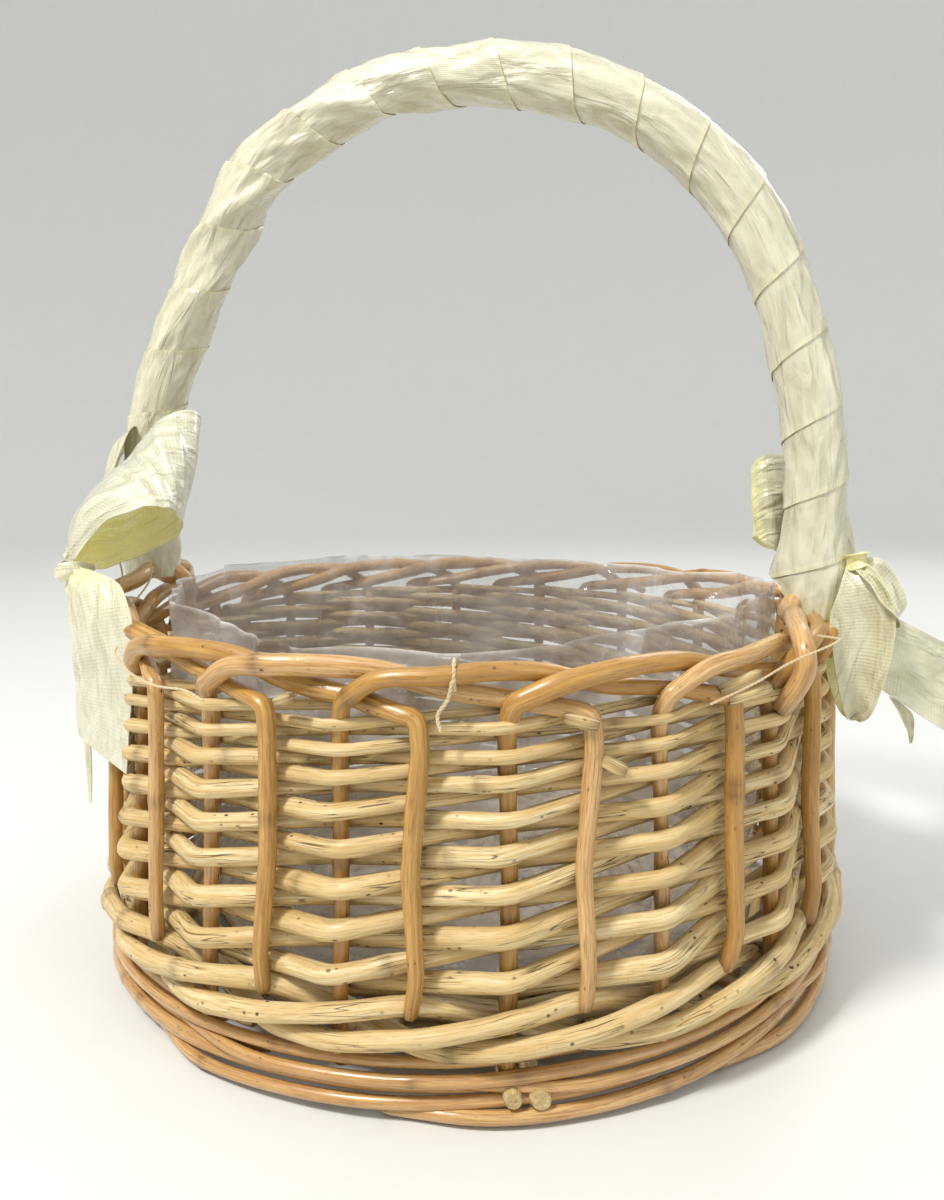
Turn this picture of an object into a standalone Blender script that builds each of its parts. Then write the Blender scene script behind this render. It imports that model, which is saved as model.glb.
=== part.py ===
"""Flower girl basket: round woven willow basket, ribbon-wrapped hoop handle, two bows, film liner.

Metres, +Z up. The origin is the middle of the base's underside. The handle runs from -X to +X
and the front of the basket is -Y. Angles turn about +Z from the front (-Y) towards +X.
"""

import math

import bmesh
import bpy
from mathutils import Matrix, Vector

# ---- driving dimensions -------------------------------------------------------------------
GAP = 0.0003

STAKE_COUNT = 18
BAY = 360.0 / STAKE_COUNT
FIRST_STAKE = 16.0
STAKE_RADIUS = 0.0019
STAKE_BEND = 0.0020

WALL_BOTTOM_Z = 0.012
WALL_TOP_Z = 0.085
WALL_BOTTOM_R = 0.1015
WALL_TOP_R = 0.0975

# Each side weaver starts behind a stake of its own and climbs one pitch a bay.
WEAVER_STROKES = 14
WEAVER_PITCH = 0.00395
WEAVER_START_Z = 0.0283
WEAVER_RADIUS = 0.00175
WEAVER_SWING = 0.0043

WALE_COUNT = 3
WALE_PITCH = 0.0045
FIRST_WALE_Z = 0.0145
WALE_RADIUS = 0.00205
WALE_SWING = 0.00475

FOOT_RADII = (0.1000, 0.1024)
FOOT_ROD_RADIUS = 0.0018
FOOT_ROD_FLAT = FOOT_ROD_RADIUS * math.cos(math.radians(30.0))

BASE_Z = 0.0098
SPOKE_HALF = 0.0018
SPOKE_END_R = 0.090
STICKS_PER_LAYER = 3
STICK_SPACING = 0.0045
CROSS_HALF = 0.017
FAN_START_R = 0.034
FAN_END_R = 0.044
FAN_START_RISE = 0.55
BASE_RING_RADII = (0.0500, 0.0630, 0.0760)
BASE_RING_ROD = 0.0015
STAKE_BUTT_R = 0.084

BORDER_R = 0.0985
OUTSIDE_STEP = 0.00265
OUTER_HEIGHTS = (0.0862, 0.0800, 0.0550, 0.0262)
UPRIGHT_HEIGHTS = (0.0500, 0.0825)
STROKE_BAYS = 2.5

HANDLE_Y = -0.007
HANDLE_ROD_RADIUS = 0.0026
HANDLE_BUNDLE_R = 0.0035
WRAP_OUTER_R = 0.0083
WRAP_INNER_R = 0.0068
WRAP_END_RISE = 0.0030
BORDER_ROD_STEP = 0.0024
# A handle rod's outside foot: (share of its lean, step inwards, height).
OUTSIDE_FOOT = ((0.85, 0.0075, 0.1035), (0.62, 0.0040, 0.1014), (0.35, 0.0, 0.0994), (0.10, 0.0, 0.0960),
                (0.0, 0.0, 0.0920), (0.0, 0.0, 0.0850))
# The middle rod's inside foot: (share of its step outwards, height).
INSIDE_FOOT = ((1.0, 0.1030), (0.5, 0.1010), (0.0, 0.0985), (0.0, 0.0900), (0.0, 0.0450))
INSIDE_FOOT_STEPS = (0.0150, 0.0100)

LINER_TOP_Z = 0.1030
LINER_TOP_R = 0.0850
LINER_FLOOR_Z = 0.0156
LINER_FILM = 0.0005
LINER_FLOOR_R = 0.0800
LINER_CORNER = (0.0845, 0.0210)
LINER_WALL_Z = 0.0600
THREAD_RING_R = 0.0029
THREAD_R = 0.00035
THREAD_PLACE = (0.70, 0.0011, 0.0955)

RIBBON_WIDTH = 0.0240
RIBBON_SOLID = 0.0008

# Bow loops: (centre, size, turn about +Z).
LEFT_LOOP = ((-0.0950, -0.0325, 0.1360), (0.052, 0.036, 0.058), 12.0)
RIGHT_LOOP_ANGLE = 86.0
RIGHT_LOOP_REACH = 0.1170
RIGHT_LOOP_Z = 0.0900
RIGHT_LOOP_SIZE = (0.019, 0.026, 0.058)
RIGHT_LOOP_TURN = -4.0
# Left tail: (angle, height) of its front edge; its back edge is a ribbon's width further left.
LEFT_TAIL = ((-56.0, 0.1110), (-46.0, 0.1000), (-39.0, 0.0860), (-38.0, 0.0660), (-38.0, 0.0460))
LEFT_TAIL_FRONT_R = 0.1095
LEFT_TAIL_BACK_R = 0.1110
LEFT_TAIL_TURN = 13.0
LEFT_TAIL_RISE = 0.004
# Right tail: (x, z) of its upper edge.
RIGHT_TAIL = ((0.1265, 0.0900), (0.1390, 0.0845), (0.1530, 0.0765))
RIGHT_TAIL_UPPER_Y = -0.010
RIGHT_TAIL_LOWER_Y = -0.016
RIGHT_TAIL_SLANT = 0.004

# Handle centre line in its own plane: (x, z), left foot to right foot.
HANDLE_LINE = (
    (-0.1005, 0.107), (-0.1005, 0.126), (-0.0985, 0.143), (-0.0945, 0.157), (-0.0885, 0.172),
    (-0.0800, 0.188), (-0.0640, 0.214), (-0.0490, 0.227), (-0.0250, 0.238), (0.0, 0.240),
    (0.0240, 0.237), (0.0480, 0.227), (0.0700, 0.208), (0.0830, 0.186), (0.0910, 0.160),
    (0.0945, 0.141), (0.0955, 0.125), (0.0950, 0.106),
)

# Border stroke of one stake: (bays past its upright, step out from the border circle, height).
BORDER_STROKE = (
    (0.02, 0.0012, 0.0862), (0.14, 0.0024, 0.0905), (0.32, 0.0024, 0.0946), (0.60, 0.0020, 0.0956),
    (0.82, -0.0002, 0.0954), (1.00, -0.0022, 0.0950), (1.35, -0.0023, 0.0942), (1.65, -0.0022, 0.0914),
    (1.95, -0.0022, 0.0892), (2.22, -0.0018, 0.0884), (2.40, 0.0006, 0.0882),
)

model = bpy.data.collections.new("flower_girl_basket")


def clear_scene():
    for obj in list(bpy.data.objects):
        bpy.data.objects.remove(obj, do_unlink=True)
    bpy.context.scene.collection.children.link(model)


def material(name, colour, roughness, metallic=0.0, alpha=1.0):
    made = bpy.data.materials.new(name)
    made.use_nodes = True
    shader = made.node_tree.nodes["Principled BSDF"]
    shader.inputs["Base Color"].default_value = (*colour, 1.0)
    shader.inputs["Roughness"].default_value = roughness
    shader.inputs["Metallic"].default_value = metallic
    shader.inputs["Alpha"].default_value = alpha
    return made


def polar(angle, radius, z):
    turn = math.radians(angle)
    return Vector((radius * math.sin(turn), -radius * math.cos(turn), z))


def wall_radius(z):
    """The radius of the circle that the uprights stand on, at this height."""
    share = (z - WALL_BOTTOM_Z) / (WALL_TOP_Z - WALL_BOTTOM_Z)
    return WALL_BOTTOM_R + (WALL_TOP_R - WALL_BOTTOM_R) * share


def place(obj, skin):
    obj.data.materials.append(skin)
    model.objects.link(obj)
    return obj


def rod(name, points, radius, skin, closed=False, resolution=1):
    """A round rod along the points, open with flat ends or closed into a ring."""
    line = bpy.data.curves.new(name, "CURVE")
    line.dimensions = "3D"
    line.bevel_depth = radius
    line.bevel_resolution = resolution
    line.use_fill_caps = not closed
    spline = line.splines.new("POLY")
    spline.points.add(len(points) - 1)
    for vertex, point in zip(spline.points, points):
        vertex.co = (*point, 1.0)
    spline.use_cyclic_u = closed
    return place(bpy.data.objects.new(name, line), skin)


def smooth_line(points, per_span):
    """Points along a Catmull-Rom curve through the given points."""
    ends = [2 * points[0] - points[1]] + list(points) + [2 * points[-1] - points[-2]]
    line = []
    for before, start, end, after in zip(ends, ends[1:], ends[2:], ends[3:]):
        for step in range(per_span):
            t = step / per_span
            line.append(0.5 * (2 * start + (end - before) * t
                               + (2 * before - 5 * start + 4 * end - after) * t ** 2
                               + (3 * start - before - 3 * end + after) * t ** 3))
    line.append(points[-1])
    return line


def mesh_object(name, mesh, skin):
    mesh.shade_smooth()
    mesh.set_sharp_from_angle(angle=math.radians(40))
    return place(bpy.data.objects.new(name, mesh), skin)


def solidify(obj, thickness, offset):
    shell = obj.modifiers.new("thickness", "SOLIDIFY")
    shell.thickness = thickness
    shell.offset = offset
    shell.use_even_offset = True
    return obj


# ---- base ---------------------------------------------------------------------------------
def base_stick(layer, index, skin):
    """One stick of the base cross: straight in the middle, fanned out to a spoke at each end."""
    side = index - (STICKS_PER_LAYER - 1) / 2
    middle_z = SPOKE_HALF + layer * (2 * SPOKE_HALF + GAP)
    spread = 90.0 / STICKS_PER_LAYER * side
    half = [Vector((x, side * STICK_SPACING, middle_z)) for x in (0.0, CROSS_HALF)]
    for radius, rise in ((FAN_START_R, FAN_START_RISE), (FAN_END_R, 1.0), (SPOKE_END_R, 1.0)):
        turn = math.radians(spread)
        height = middle_z + (BASE_Z - middle_z) * rise
        half.append(Vector((radius * math.cos(turn), radius * math.sin(turn), height)))
    mirrored = [Vector((-p.x, p.y, p.z)) for p in reversed(half[1:])]
    turned = [Matrix.Rotation(math.radians(90 * layer), 3, "Z") @ p for p in mirrored + half]
    stick = bpy.data.meshes.new(f"base_stick_{layer * STICKS_PER_LAYER + index + 1}")
    square_bar(stick, turned, SPOKE_HALF)
    return mesh_object(stick.name, stick, skin)


def square_bar(mesh, points, half):
    """Lofts a square section, kept level, along the points."""
    shape = bmesh.new()
    rings = []
    for index, point in enumerate(points):
        ahead = points[min(index + 1, len(points) - 1)]
        behind = points[max(index - 1, 0)]
        along = Vector(((ahead - behind).x, (ahead - behind).y, 0.0)).normalized()
        side = Vector((-along.y, along.x, 0.0)) * half
        up = Vector((0.0, 0.0, half))
        corners = (side + up, -side + up, -side - up, side - up)
        rings.append([shape.verts.new(point + corner) for corner in corners])
    for near, far in zip(rings, rings[1:]):
        for corner in range(4):
            following = (corner + 1) % 4
            shape.faces.new((near[corner], near[following], far[following], far[corner]))
    shape.faces.new(rings[0])
    shape.faces.new(rings[-1])
    bmesh.ops.recalc_face_normals(shape, faces=shape.faces)
    shape.to_mesh(mesh)
    shape.free()


def base_ring(index, skin):
    """A base weaver that goes over and under the twelve spokes in turn."""
    spokes = 4 * STICKS_PER_LAYER
    swing = SPOKE_HALF + BASE_RING_ROD + 2 * GAP
    points = []
    for step in range(2 * spokes):
        lift = 0.0 if step % 2 else swing * (-1) ** (step // 2 + index)
        points.append(polar(step * 180.0 / spokes, BASE_RING_RADII[index], BASE_Z + lift))
    return rod(f"base_weaver_{index + 1}", points, BASE_RING_ROD, skin, closed=True)


def foot_rod(index, skin):
    z = FOOT_ROD_FLAT + index * (2 * FOOT_ROD_FLAT + 2 * GAP)
    steps = 2 * STAKE_COUNT
    points = [polar(step * 360.0 / steps, FOOT_RADII[index], z) for step in range(steps)]
    return rod(f"foot_rod_{index + 1}", points, FOOT_ROD_RADIUS, skin, closed=True)


# ---- wall ---------------------------------------------------------------------------------
def stake(index, skin):
    """One stake: butt in the base, upright, border stroke, then down the outside of the weave."""
    angle = FIRST_STAKE + BAY * index
    points = [
        polar(angle, STAKE_BUTT_R, BASE_Z),
        polar(angle, wall_radius(BASE_Z) - STAKE_BEND, BASE_Z),
        polar(angle, wall_radius(BASE_Z), BASE_Z + STAKE_BEND),
    ]
    points += [polar(angle, wall_radius(z), z) for z in UPRIGHT_HEIGHTS]
    for bays, step_out, z in BORDER_STROKE:
        points.append(polar(angle + BAY * bays, BORDER_R + step_out, z))
    for z in OUTER_HEIGHTS:
        points.append(polar(angle + BAY * STROKE_BAYS, wall_radius(z) + OUTSIDE_STEP, z))
    return rod(f"stake_{index + 1:02d}", points, STAKE_RADIUS, skin)


def side_weaver(index, skin):
    """A weaver that starts behind stake `index`, then goes in front of one stake and behind the next."""
    points = []
    for stroke in range(WEAVER_STROKES + 1):
        z = WEAVER_START_Z + WEAVER_PITCH * stroke
        swing = WEAVER_SWING if stroke % 2 else -WEAVER_SWING
        points.append(polar(FIRST_STAKE + BAY * (index + stroke), wall_radius(z) + swing, z))
    return rod(f"side_weaver_{index + 1:02d}", points, WEAVER_RADIUS, skin)


def wale_rod(index, skin):
    """A thick lower weaver that goes in front of two stakes and behind the third."""
    z = FIRST_WALE_Z + WALE_PITCH * index
    points = []
    for step in range(STAKE_COUNT):
        swing = -WALE_SWING if step % WALE_COUNT == index else WALE_SWING
        points.append(polar(FIRST_STAKE + BAY * step, wall_radius(z) + swing, z))
        points.append(polar(FIRST_STAKE + BAY * (step + 0.5), *half_bay(step, index, z)))
    return rod(f"wale_rod_{index + 1}", points, WALE_RADIUS, skin, closed=True)


def half_bay(step, index, z):
    """Radius and height of a wale rod half way to the next stake."""
    hidden = index in (step % WALE_COUNT, (step + 1) % WALE_COUNT)
    return wall_radius(z) + (0.0 if hidden else WALE_SWING), z


# ---- handle -------------------------------------------------------------------------------
def handle_line():
    return smooth_line([Vector((x, HANDLE_Y, z)) for x, z in HANDLE_LINE], 2)


def beside(points, out, back):
    """The line moved outwards in the handle's plane, and backwards along +Y."""
    moved = []
    for index, point in enumerate(points):
        ahead = points[min(index + 1, len(points) - 1)]
        behind = points[max(index - 1, 0)]
        along = (ahead - behind).normalized()
        outwards = Vector((-along.z, 0.0, along.x))
        moved.append(point + outwards * out + Vector((0.0, back, 0.0)))
    return moved


def foot_outside(angle, lean):
    """A handle rod's end, from the border down to the top row, on the outside."""
    reach = BORDER_R + BORDER_ROD_STEP + STAKE_RADIUS + HANDLE_ROD_RADIUS + 2 * GAP
    return [polar(angle + share * lean, reach - inwards, z) for share, inwards, z in OUTSIDE_FOOT]


def foot_inside(angle, step):
    """A handle rod's end that comes over the border and is pushed down inside the wall."""
    reach = wall_radius(WALL_TOP_Z) - WEAVER_SWING - WEAVER_RADIUS - HANDLE_ROD_RADIUS - 2 * GAP
    return [polar(angle, reach + share * step, z) for share, z in INSIDE_FOOT]


def handle_rod(name, left_foot, right_foot, out, back, skin):
    hoop = beside(handle_line(), out, back)
    return rod(name, list(reversed(left_foot)) + hoop + right_foot, HANDLE_ROD_RADIUS, skin)


def handle_rods(skin):
    """Three rods bound into one hoop: front and back rods end outside, the middle one inside."""
    low = -HANDLE_BUNDLE_R * math.sin(math.radians(30.0))
    apart = HANDLE_BUNDLE_R * math.cos(math.radians(30.0))
    handle_rod("handle_rod_front", foot_outside(-62.0, -22.0), foot_outside(58.0, 22.0), low, -apart, skin)
    inside = foot_inside(-86.0, INSIDE_FOOT_STEPS[0]), foot_inside(86.0, INSIDE_FOOT_STEPS[1])
    handle_rod("handle_rod_middle", *inside, HANDLE_BUNDLE_R, 0.0, skin)
    handle_rod("handle_rod_back", foot_outside(-102.0, 8.0), foot_outside(98.0, -8.0), low, apart, skin)


def handle_wrap(skin):
    """The ribbon wound over the hoop, as one tube open at both ends, just above where the rods part."""
    line = handle_line()
    line[0] += Vector((0.0, 0.0, WRAP_END_RISE))
    line[-1] += Vector((0.0, 0.0, WRAP_END_RISE))
    tube = bpy.data.curves.new("handle_wrap_line", "CURVE")
    tube.dimensions = "3D"
    tube.bevel_depth = WRAP_OUTER_R
    tube.bevel_resolution = 3
    spline = tube.splines.new("POLY")
    spline.points.add(len(line) - 1)
    for vertex, point in zip(spline.points, line):
        vertex.co = (*point, 1.0)
    guide = bpy.data.objects.new("handle_wrap_line", tube)
    bpy.context.scene.collection.objects.link(guide)
    bpy.context.view_layer.update()
    evaluated = guide.evaluated_get(bpy.context.evaluated_depsgraph_get())
    mesh = bpy.data.meshes.new_from_object(evaluated)
    bpy.data.objects.remove(guide)
    mesh.materials.clear()
    wrap = mesh_object("handle_wrap", mesh, skin)
    return solidify(wrap, WRAP_OUTER_R - WRAP_INNER_R, -1.0)


# ---- soft pieces --------------------------------------------------------------------------
def liner(skin):
    """The film cup: a turned profile, thickened inwards."""
    profile = ((LINER_TOP_R, LINER_TOP_Z), (LINER_TOP_R, LINER_WALL_Z), LINER_CORNER,
               (LINER_FLOOR_R, LINER_FLOOR_Z), (0.0, LINER_FLOOR_Z))
    mesh = bpy.data.meshes.new("liner_film")
    shape = bmesh.new()
    corners = [shape.verts.new((x, 0.0, z)) for x, z in profile]
    for start, end in zip(corners, corners[1:]):
        shape.edges.new((start, end))
    shape.to_mesh(mesh)
    shape.free()
    film = place(bpy.data.objects.new("liner_film", mesh), skin)
    turn = film.modifiers.new("turn", "SCREW")
    turn.angle = math.tau
    turn.steps = 2 * STAKE_COUNT
    turn.render_steps = turn.steps
    turn.use_merge_vertices = True
    turn.merge_threshold = 0.00001
    return solidify(film, LINER_FILM, -1.0)


def liner_thread(skin):
    """A stitch that ties the film to the top border rod."""
    bpy.ops.mesh.primitive_torus_add(major_radius=THREAD_RING_R, minor_radius=THREAD_R,
                                     major_segments=16, minor_segments=6)
    ring = bpy.context.object
    ring.name = ring.data.name = "liner_thread"
    bays, step_out, z = THREAD_PLACE
    angle = FIRST_STAKE + BAY * (bays - 1)
    ring.matrix_world = (Matrix.Translation(polar(angle, BORDER_R + step_out, z))
                         @ Matrix.Rotation(math.radians(angle), 4, "Z")
                         @ Matrix.Rotation(math.radians(90), 4, "Y"))
    for collection in list(ring.users_collection):
        collection.objects.unlink(ring)
    return place(ring, skin)


def bow_loop(name, centre, size, angle, skin):
    """The space that a bow's soft loops fill: a rounded cage."""
    mesh = bpy.data.meshes.new(name)
    shape = bmesh.new()
    bmesh.ops.create_cube(shape, size=1.0)
    bmesh.ops.scale(shape, vec=size, verts=shape.verts)
    shape.to_mesh(mesh)
    shape.free()
    loop = mesh_object(name, mesh, skin)
    loop.matrix_world = Matrix.Translation(Vector(centre)) @ Matrix.Rotation(math.radians(angle), 4, "Z")
    rounded = loop.modifiers.new("rounded", "SUBSURF")
    rounded.levels = 2
    rounded.render_levels = rounded.levels
    return loop


def ribbon_tail(name, first_edge, second_edge, skin):
    """A flat ribbon between two edge lines."""
    mesh = bpy.data.meshes.new(name)
    shape = bmesh.new()
    pairs = [(shape.verts.new(a), shape.verts.new(b)) for a, b in zip(first_edge, second_edge)]
    for near, far in zip(pairs, pairs[1:]):
        shape.faces.new((near[0], near[1], far[1], far[0]))
    shape.to_mesh(mesh)
    shape.free()
    return solidify(mesh_object(name, mesh, skin), RIBBON_SOLID, 0.0)


def left_bow(skin):
    bow_loop("bow_left_loop", *LEFT_LOOP, skin)
    front = [polar(angle, LEFT_TAIL_FRONT_R, z) for angle, z in LEFT_TAIL]
    back = [polar(angle - LEFT_TAIL_TURN, LEFT_TAIL_BACK_R, z + LEFT_TAIL_RISE) for angle, z in LEFT_TAIL]
    ribbon_tail("bow_left_tail", front, back, skin)


def right_bow(skin):
    centre = polar(RIGHT_LOOP_ANGLE, RIGHT_LOOP_REACH, RIGHT_LOOP_Z)
    bow_loop("bow_right_loop", centre, RIGHT_LOOP_SIZE, RIGHT_LOOP_TURN, skin)
    upper = [Vector((x, RIGHT_TAIL_UPPER_Y, z)) for x, z in RIGHT_TAIL]
    lower = [Vector((x - RIGHT_TAIL_SLANT, RIGHT_TAIL_LOWER_Y, z - RIBBON_WIDTH)) for x, z in RIGHT_TAIL]
    ribbon_tail("bow_right_tail", upper, lower, skin)


def build():
    clear_scene()
    straw = material("willow_straw", (0.62, 0.47, 0.25), 0.55)
    honey = material("willow_honey", (0.48, 0.26, 0.085), 0.40)
    amber = material("willow_amber", (0.50, 0.29, 0.11), 0.38)
    satin = material("ivory_satin", (0.78, 0.76, 0.53), 0.35)
    film = material("clear_film", (0.85, 0.85, 0.86), 0.15, alpha=0.25)
    thread = material("tie_thread", (0.75, 0.66, 0.48), 0.80)

    for layer in range(2):
        for index in range(STICKS_PER_LAYER):
            base_stick(layer, index, straw)
    for index in range(len(BASE_RING_RADII)):
        base_ring(index, straw)
    for index in range(len(FOOT_RADII)):
        foot_rod(index, amber)
    for index in range(STAKE_COUNT):
        stake(index, honey)
    for index in range(WALE_COUNT):
        wale_rod(index, straw)
    for index in range(STAKE_COUNT):
        side_weaver(index, straw)
    handle_rods(honey)
    handle_wrap(satin)
    liner(film)
    liner_thread(thread)
    left_bow(satin)
    right_bow(satin)


build()
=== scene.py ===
"""Looks of the flower girl basket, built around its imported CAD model.

Metres, +Z up, origin in the middle of the base's underside. Angles turn about +Z from the front
(-Y) towards +X. Every rod is a tube with its own taper, bends, knots and cut ends; the ribbons and
the film are lofted sheets.
"""

import math
import random

import bpy
import numpy as np
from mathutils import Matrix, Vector, noise


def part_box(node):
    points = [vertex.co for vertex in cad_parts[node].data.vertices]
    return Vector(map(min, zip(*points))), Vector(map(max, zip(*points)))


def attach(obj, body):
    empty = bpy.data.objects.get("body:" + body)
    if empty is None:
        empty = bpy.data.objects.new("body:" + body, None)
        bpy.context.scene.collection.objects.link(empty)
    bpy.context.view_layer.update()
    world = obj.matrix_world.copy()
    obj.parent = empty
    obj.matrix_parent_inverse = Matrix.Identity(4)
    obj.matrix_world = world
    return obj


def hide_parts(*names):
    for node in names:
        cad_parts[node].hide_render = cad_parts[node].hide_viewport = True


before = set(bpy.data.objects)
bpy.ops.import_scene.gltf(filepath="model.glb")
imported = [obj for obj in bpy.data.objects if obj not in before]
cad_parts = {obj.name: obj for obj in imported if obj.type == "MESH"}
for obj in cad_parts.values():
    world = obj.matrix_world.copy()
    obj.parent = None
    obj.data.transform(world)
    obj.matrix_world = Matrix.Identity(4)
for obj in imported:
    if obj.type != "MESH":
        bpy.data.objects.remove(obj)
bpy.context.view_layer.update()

# ---- driving dimensions, the same as the CAD model's ----
STAKE_COUNT = 18
BAY = 360.0 / STAKE_COUNT
FIRST_STAKE = 16.0
WALL_BOTTOM_Z, WALL_BOTTOM_R = 0.012, 0.1015
WALL_TOP_Z, WALL_TOP_R = 0.085, 0.0975
BORDER_R = 0.0985
BASE_Z = 0.0098
HANDLE_Y = -0.007
WRAP_R = 0.0083
CAMERA_TURN = math.radians(12.0)

# Radii of one stake: inside the weave, in the border, and down the outside.
UPRIGHT_R = 0.00172
BORDER_ROD_R = 0.00215
OUTER_ROD_R = 0.00195

# The hoop's middle line, from the left foot to the right one: (x, height).
HANDLE_LINE = (
    (-0.1005, 0.107), (-0.1005, 0.126), (-0.0985, 0.143), (-0.0945, 0.157), (-0.0885, 0.172),
    (-0.0800, 0.188), (-0.0640, 0.214), (-0.0490, 0.227), (-0.0250, 0.238), (0.0, 0.240),
    (0.0240, 0.237), (0.0480, 0.227), (0.0700, 0.208), (0.0830, 0.186), (0.0910, 0.160),
    (0.0945, 0.141), (0.0955, 0.125), (0.0950, 0.106),
)

# Border stroke of one stake: (bays past its upright, step out from the border circle, height).
BORDER_STROKE = (
    (0.03, 0.0014, 0.0893), (0.30, 0.0026, 0.0942), (0.62, 0.0022, 0.0958), (0.92, -0.0004, 0.0960),
    (1.25, -0.0020, 0.0950), (1.65, -0.0022, 0.0920), (2.05, -0.0016, 0.0898), (2.44, 0.0020, 0.0876),
)


def polar(angle, radius, z):
    """A point at so many degrees from the front, at a radius and a height."""
    turn = math.radians(angle)
    return Vector((radius * math.sin(turn), -radius * math.cos(turn), z))


def seen(right, away, z):
    """A point given to the right of and away from the camera's side of the basket's axis."""
    cos, sin = math.cos(CAMERA_TURN), math.sin(CAMERA_TURN)
    return Vector((right * cos - away * sin, right * sin + away * cos, z))


def wall_radius(z):
    """Radius of the wall's middle surface at a height."""
    share = (z - WALL_BOTTOM_Z) / (WALL_TOP_Z - WALL_BOTTOM_Z)
    return WALL_BOTTOM_R + (WALL_TOP_R - WALL_BOTTOM_R) * share


# ---- lines ----
def smooth(points, per_span):
    """Points along a Catmull-Rom curve through the given points, of any dimension."""
    p = np.array([list(q) for q in points], float)
    p = np.vstack([2 * p[0] - p[1], p, 2 * p[-1] - p[-2]])
    t = np.linspace(0, 1, per_span, endpoint=False)[:, None]
    line = []
    for a, b, c, d in zip(p, p[1:], p[2:], p[3:]):
        line.append(0.5 * (2 * b + (c - a) * t + (2 * a - 5 * b + 4 * c - d) * t ** 2
                           + (3 * b - a - 3 * c + d) * t ** 3))
    return np.vstack(line + [p[-2][None]])


def bent(points, reach):
    """Straight runs between the points, with each corner rounded over `reach` metres."""
    p = np.array([list(q) for q in points], float)
    line = [p[0]]
    for a, b, c in zip(p, p[1:], p[2:]):
        back, ahead = a - b, c - b
        start = b + back * min(0.49, reach / max(np.linalg.norm(back), 1e-9))
        end = b + ahead * min(0.49, reach / max(np.linalg.norm(ahead), 1e-9))
        for t in np.linspace(0, 1, 7):
            line.append((1 - t) ** 2 * start + 2 * t * (1 - t) * b + t ** 2 * end)
    line.append(p[-1])
    return np.array(line)


def evenly(line, step):
    """The line resampled with about `step` metres between its points."""
    lengths = np.r_[0, np.cumsum(np.linalg.norm(np.diff(line, axis=0), axis=1))]
    count = max(6, int(lengths[-1] / step))
    at = np.linspace(0, lengths[-1], count)
    return np.stack([np.interp(at, lengths, line[:, k]) for k in range(3)], axis=1), at


def frames(line):
    """Two unit vectors across the line at each point, carried along without twist."""
    along = np.gradient(line, axis=0)
    along /= np.linalg.norm(along, axis=1)[:, None] + 1e-12
    side = np.cross(along[0], (0.0, 0.0, 1.0))
    if np.linalg.norm(side) < 0.2:
        side = np.cross(along[0], (1.0, 0.0, 0.0))
    sides = []
    for direction in along:
        side = side - direction * side.dot(direction)
        side = side / np.linalg.norm(side)
        sides.append(side)
    sides = np.array(sides)
    return along, sides, np.cross(along, sides)


def ring_faces(rings, sides):
    """Faces between neighbouring rings of points."""
    faces = []
    for low in range(0, (rings - 1) * sides, sides):
        for j in range(sides):
            k = (j + 1) % sides
            faces.append((low + j, low + k, low + sides + k, low + sides + j))
    return faces


# ---- pieces ----
def linked(name, data):
    """A new object in the scene."""
    made = bpy.data.objects.new(name, data)
    bpy.context.scene.collection.objects.link(made)
    return made


class Piece:
    """Gathers vertices, faces and vertex attributes, and makes one object of them."""

    def __init__(self, name, course="grain"):
        self.name, self.course = name, course
        self.points, self.faces, self.total = [], [], 0
        # The last mark holds real weathering on the rods, painted glow on the ribbons and the painted
        # highlight along the film's cut edge.
        self.marks = {course: [], "tone": [], "wear_and_painted_light": []}

    def add(self, points, faces, course, tone, wear_and_painted_light):
        self.points.append(points)
        self.faces += [tuple(i + self.total for i in face) for face in faces]
        self.total += len(points)
        self.marks[self.course].append(course)
        self.marks["tone"].append(np.broadcast_to(tone, len(points)))
        self.marks["wear_and_painted_light"].append(np.broadcast_to(wear_and_painted_light, len(points)))

    def finish(self, skin, nodes, sharp=55):
        mesh = bpy.data.meshes.new(self.name)
        mesh.from_pydata(np.vstack(self.points).tolist(), [], self.faces)
        for name, parts in self.marks.items():
            vector = name == self.course
            layer = mesh.attributes.new(name, "FLOAT_VECTOR" if vector else "FLOAT", "POINT")
            values = np.concatenate(parts).astype(np.float32).ravel()
            layer.data.foreach_set("vector" if vector else "value", values)
        mesh.validate()
        mesh.shade_smooth()
        mesh.set_sharp_from_angle(angle=math.radians(sharp))
        mesh.materials.append(skin)
        made = linked(self.name, mesh)
        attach(made, "root")
        if nodes:
            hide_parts(*nodes)
        return made


# A rod's knots and cut ends: lengths along the rod, then shares of its radius; and its texture's radius.
KNOT_REACH = 0.0016
END_ROUNDING = 0.0007
END_WEATHERING = 0.0022
KNOT_SWELL = 0.13
END_SHRINK = 0.16
GRAIN_R = 0.002


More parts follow.
